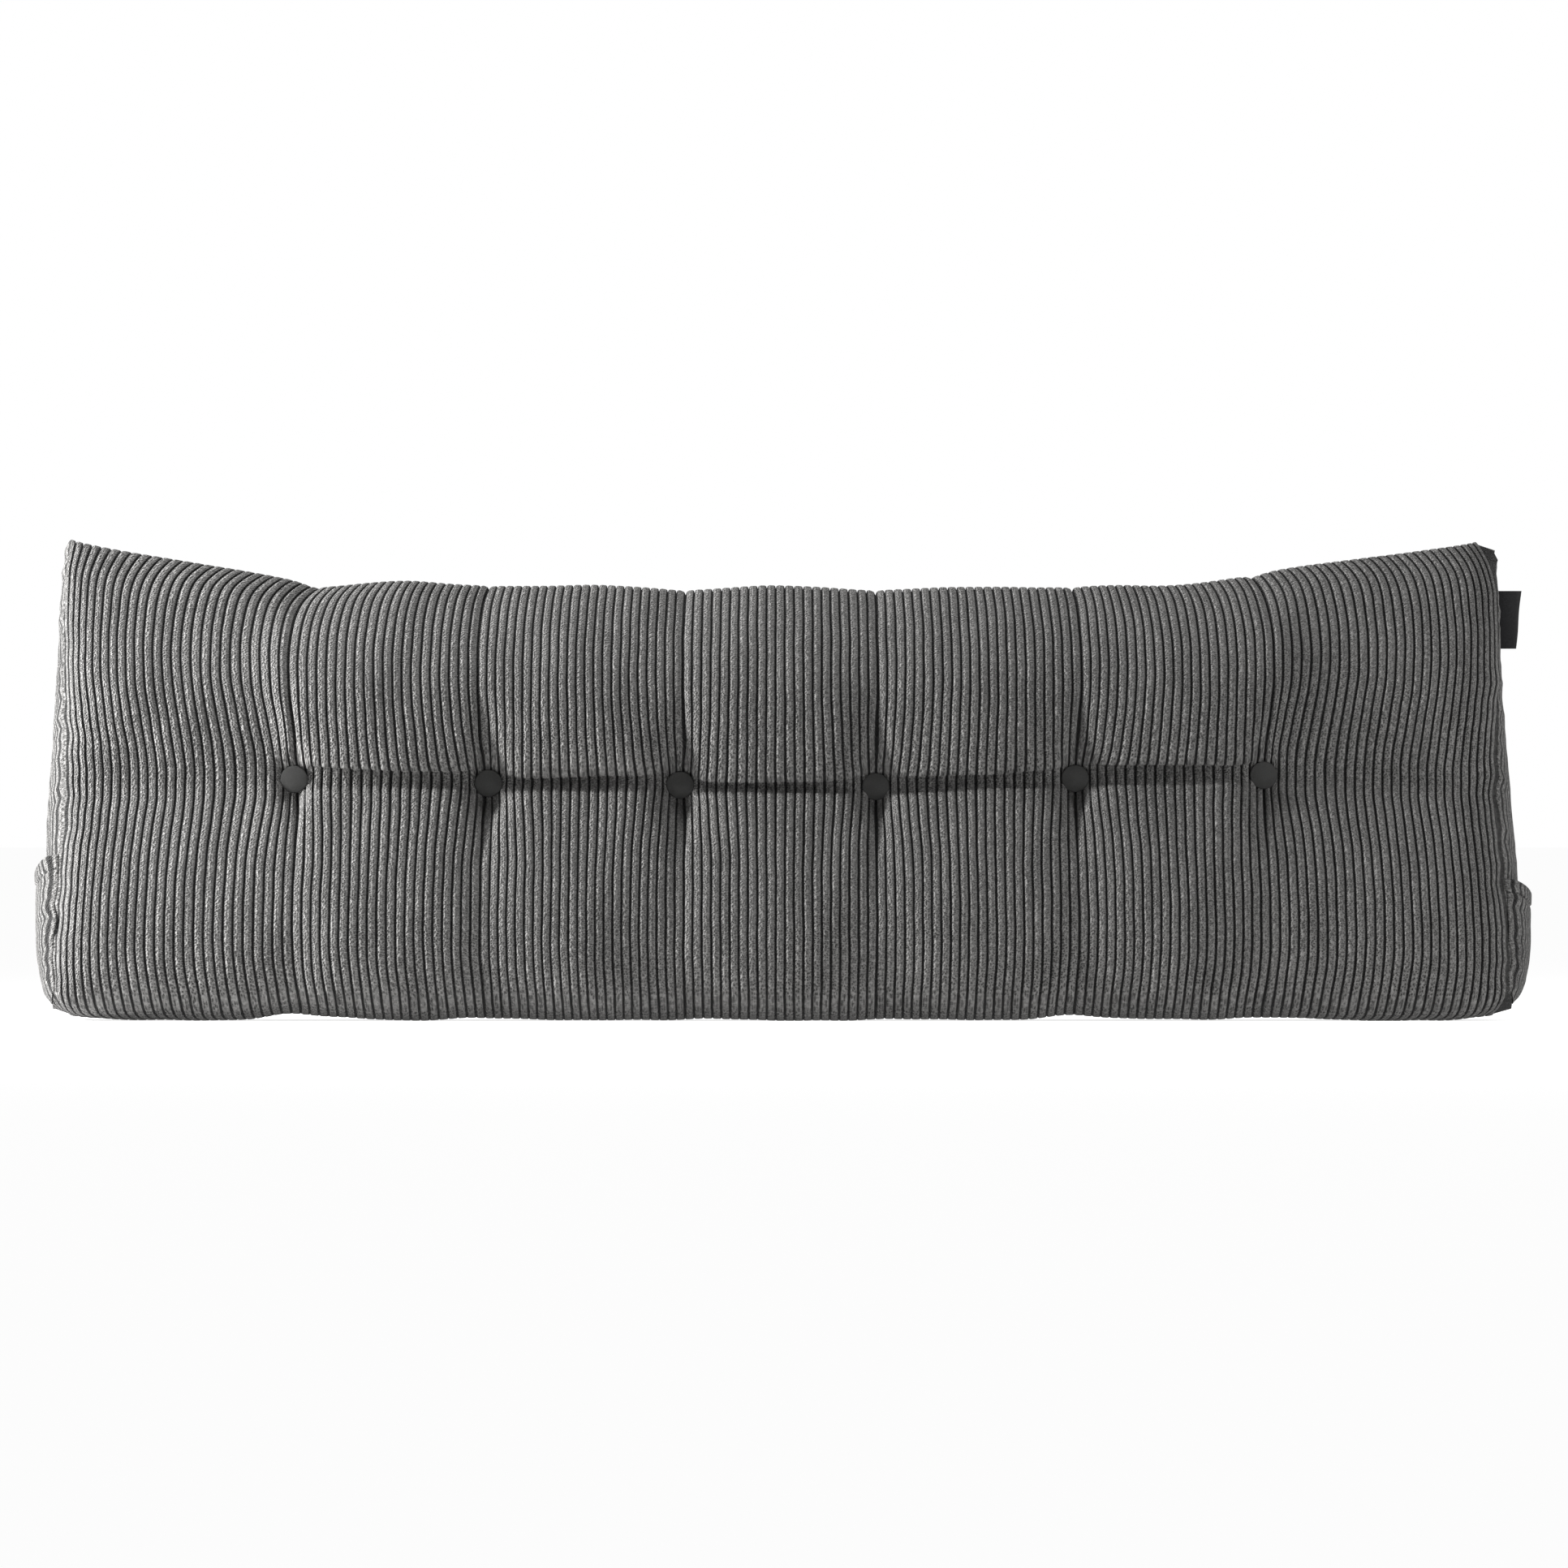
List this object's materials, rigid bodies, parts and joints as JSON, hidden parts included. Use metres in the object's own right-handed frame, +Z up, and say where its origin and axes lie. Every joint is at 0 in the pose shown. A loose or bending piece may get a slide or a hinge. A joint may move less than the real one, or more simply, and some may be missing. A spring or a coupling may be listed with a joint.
{
  "type": "wedge backrest pillow",
  "caption": "Long wedge-shaped back cushion in wide-wale corduroy, tufted with a row of covered buttons, with an open patch pocket on each end.",
  "frame": {"origin": "centre of the bounding box on X and Y, at the base plane", "axes": "+X along the cushion's length, towards the tagged end; the tufted front faces -Y and the flat back +Y; +Z up as it stands"},
  "size_m": [1.5038, 0.2434, 0.4815],
  "materials": {
    "corduroy": "dark grey wide-wale corduroy, matt cut pile with a soft sheen along each wale",
    "button_cloth": "smooth dark grey cloth pulled tight over a button",
    "tape": "black woven tape, bare"
  },
  "bodies": {
    "root": {"cushion": "corduroy", "button_1": "button_cloth", "button_2": "button_cloth", "button_3": "button_cloth", "button_4": "button_cloth", "button_5": "button_cloth", "button_6": "button_cloth", "pocket_left": "corduroy", "pocket_right": "corduroy", "label": "tape"}
  },
  "joints": []
}
